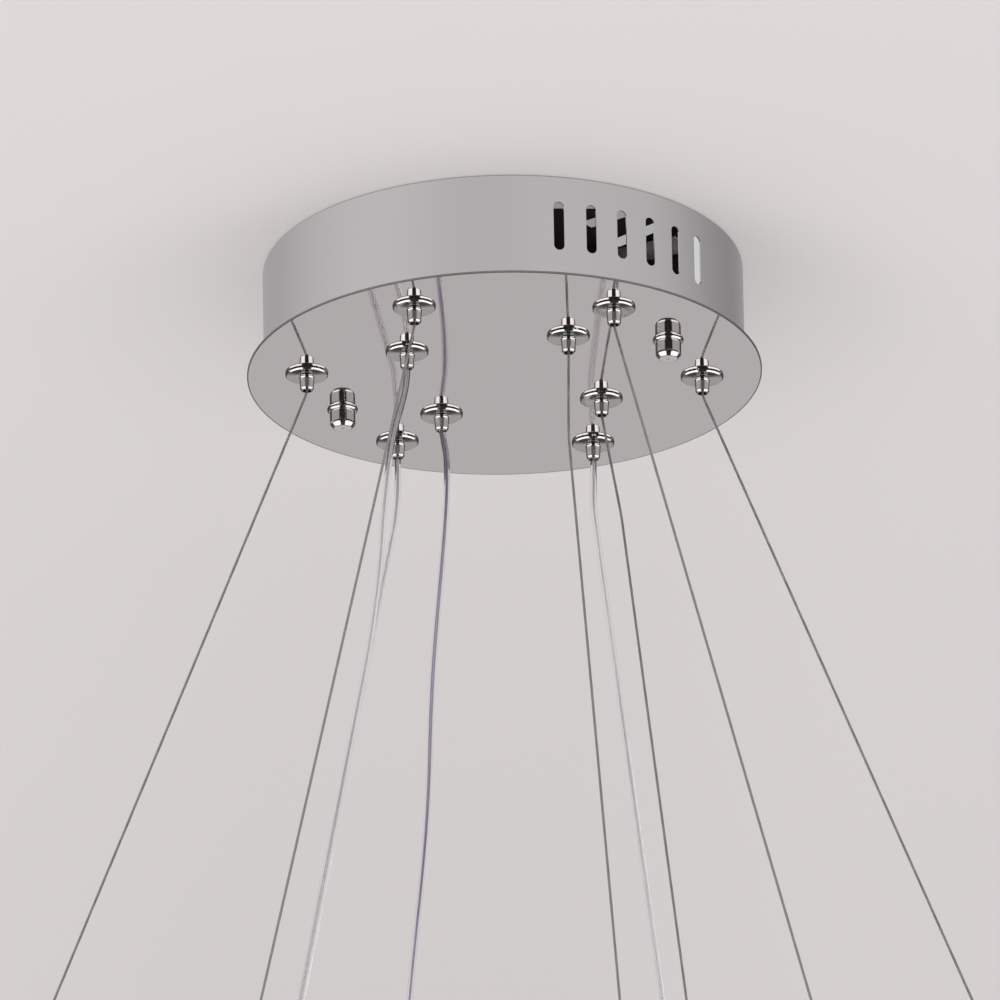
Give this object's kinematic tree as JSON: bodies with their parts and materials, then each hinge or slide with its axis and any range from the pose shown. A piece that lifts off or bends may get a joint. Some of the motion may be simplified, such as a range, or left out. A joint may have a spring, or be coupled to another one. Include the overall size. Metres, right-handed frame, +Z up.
{
  "type": "ceiling canopy with suspension lines",
  "caption": "Round polished ceiling canopy with grips, cap nuts, drivers inside, steel suspension wires and clear supply cables for a ring chandelier.",
  "frame": {"origin": "middle of the face that lies against the ceiling", "axes": "+Z up into the ceiling; the row of vents is on the -Y side"},
  "size_m": [0.5467, 0.4929, 0.5817],
  "materials": {
    "plate_mirror": "mirror polished",
    "drum_steel": "polished",
    "zinc_steel": "zinc plated",
    "turned_steel": "turned and polished",
    "driver_case": "moulded",
    "foam": "adhesive foam",
    "terminal_plastic": "moulded",
    "rope_steel": "stranded",
    "clear_sheath": "clear sheath over two conductors",
    "plug_plastic": "moulded"
  },
  "bodies": {
    "root": {"canopy_plate": "plate_mirror", "canopy_drum": "drum_steel", "ceiling_strap": "zinc_steel", "strap_studs": "zinc_steel", "led_driver_front": "driver_case", "led_driver_back": "driver_case", "driver_pads": "foam", "terminal_block": "terminal_plastic", "wire_grip_bodies": "turned_steel", "cable_grip_bodies": "turned_steel", "wire_ends": "turned_steel", "cable_plugs": "plug_plastic", "suspension_wire_1": "rope_steel", "suspension_wire_2": "rope_steel", "suspension_wire_3": "rope_steel", "suspension_wire_4": "rope_steel", "suspension_wire_5": "rope_steel", "suspension_wire_6": "rope_steel", "supply_cable_1": "clear_sheath", "supply_cable_2": "clear_sheath", "supply_cable_3": "clear_sheath", "supply_cable_4": "clear_sheath"},
    "sleeve_1": {"wire_grip_sleeve_1": "turned_steel"},
    "sleeve_2": {"wire_grip_sleeve_2": "turned_steel"},
    "sleeve_3": {"wire_grip_sleeve_3": "turned_steel"},
    "sleeve_4": {"wire_grip_sleeve_4": "turned_steel"},
    "sleeve_5": {"wire_grip_sleeve_5": "turned_steel"},
    "sleeve_6": {"wire_grip_sleeve_6": "turned_steel"},
    "cap_nut_left": {"cap_nut_left": "turned_steel"},
    "cap_nut_right": {"cap_nut_right": "turned_steel"}
  },
  "joints": [
    {"name": "sleeve_1_push", "type": "slide", "parent": "root", "child": "sleeve_1", "axis": [0, 0, 1], "range_m": [0, 0.0011], "stiffness_N_per_m": 200},
    {"name": "sleeve_2_push", "type": "slide", "parent": "root", "child": "sleeve_2", "axis": [0, 0, 1], "range_m": [0, 0.0011], "stiffness_N_per_m": 200},
    {"name": "sleeve_3_push", "type": "slide", "parent": "root", "child": "sleeve_3", "axis": [0, 0, 1], "range_m": [0, 0.0011], "stiffness_N_per_m": 200},
    {"name": "sleeve_4_push", "type": "slide", "parent": "root", "child": "sleeve_4", "axis": [0, 0, 1], "range_m": [0, 0.0011], "stiffness_N_per_m": 200},
    {"name": "sleeve_5_push", "type": "slide", "parent": "root", "child": "sleeve_5", "axis": [0, 0, 1], "range_m": [0, 0.0011], "stiffness_N_per_m": 200},
    {"name": "sleeve_6_push", "type": "slide", "parent": "root", "child": "sleeve_6", "axis": [0, 0, 1], "range_m": [0, 0.0011], "stiffness_N_per_m": 200},
    {"name": "cap_nut_left_turn", "type": "hinge", "parent": "root", "child": "cap_nut_left", "pos_m": [-0.09206, 0.05315, -0.0655], "axis": [0, 0, 1], "continuous": true},
    {"name": "cap_nut_right_turn", "type": "hinge", "parent": "root", "child": "cap_nut_right", "pos_m": [0.09206, -0.05315, -0.0655], "axis": [0, 0, 1], "continuous": true}
  ]
}
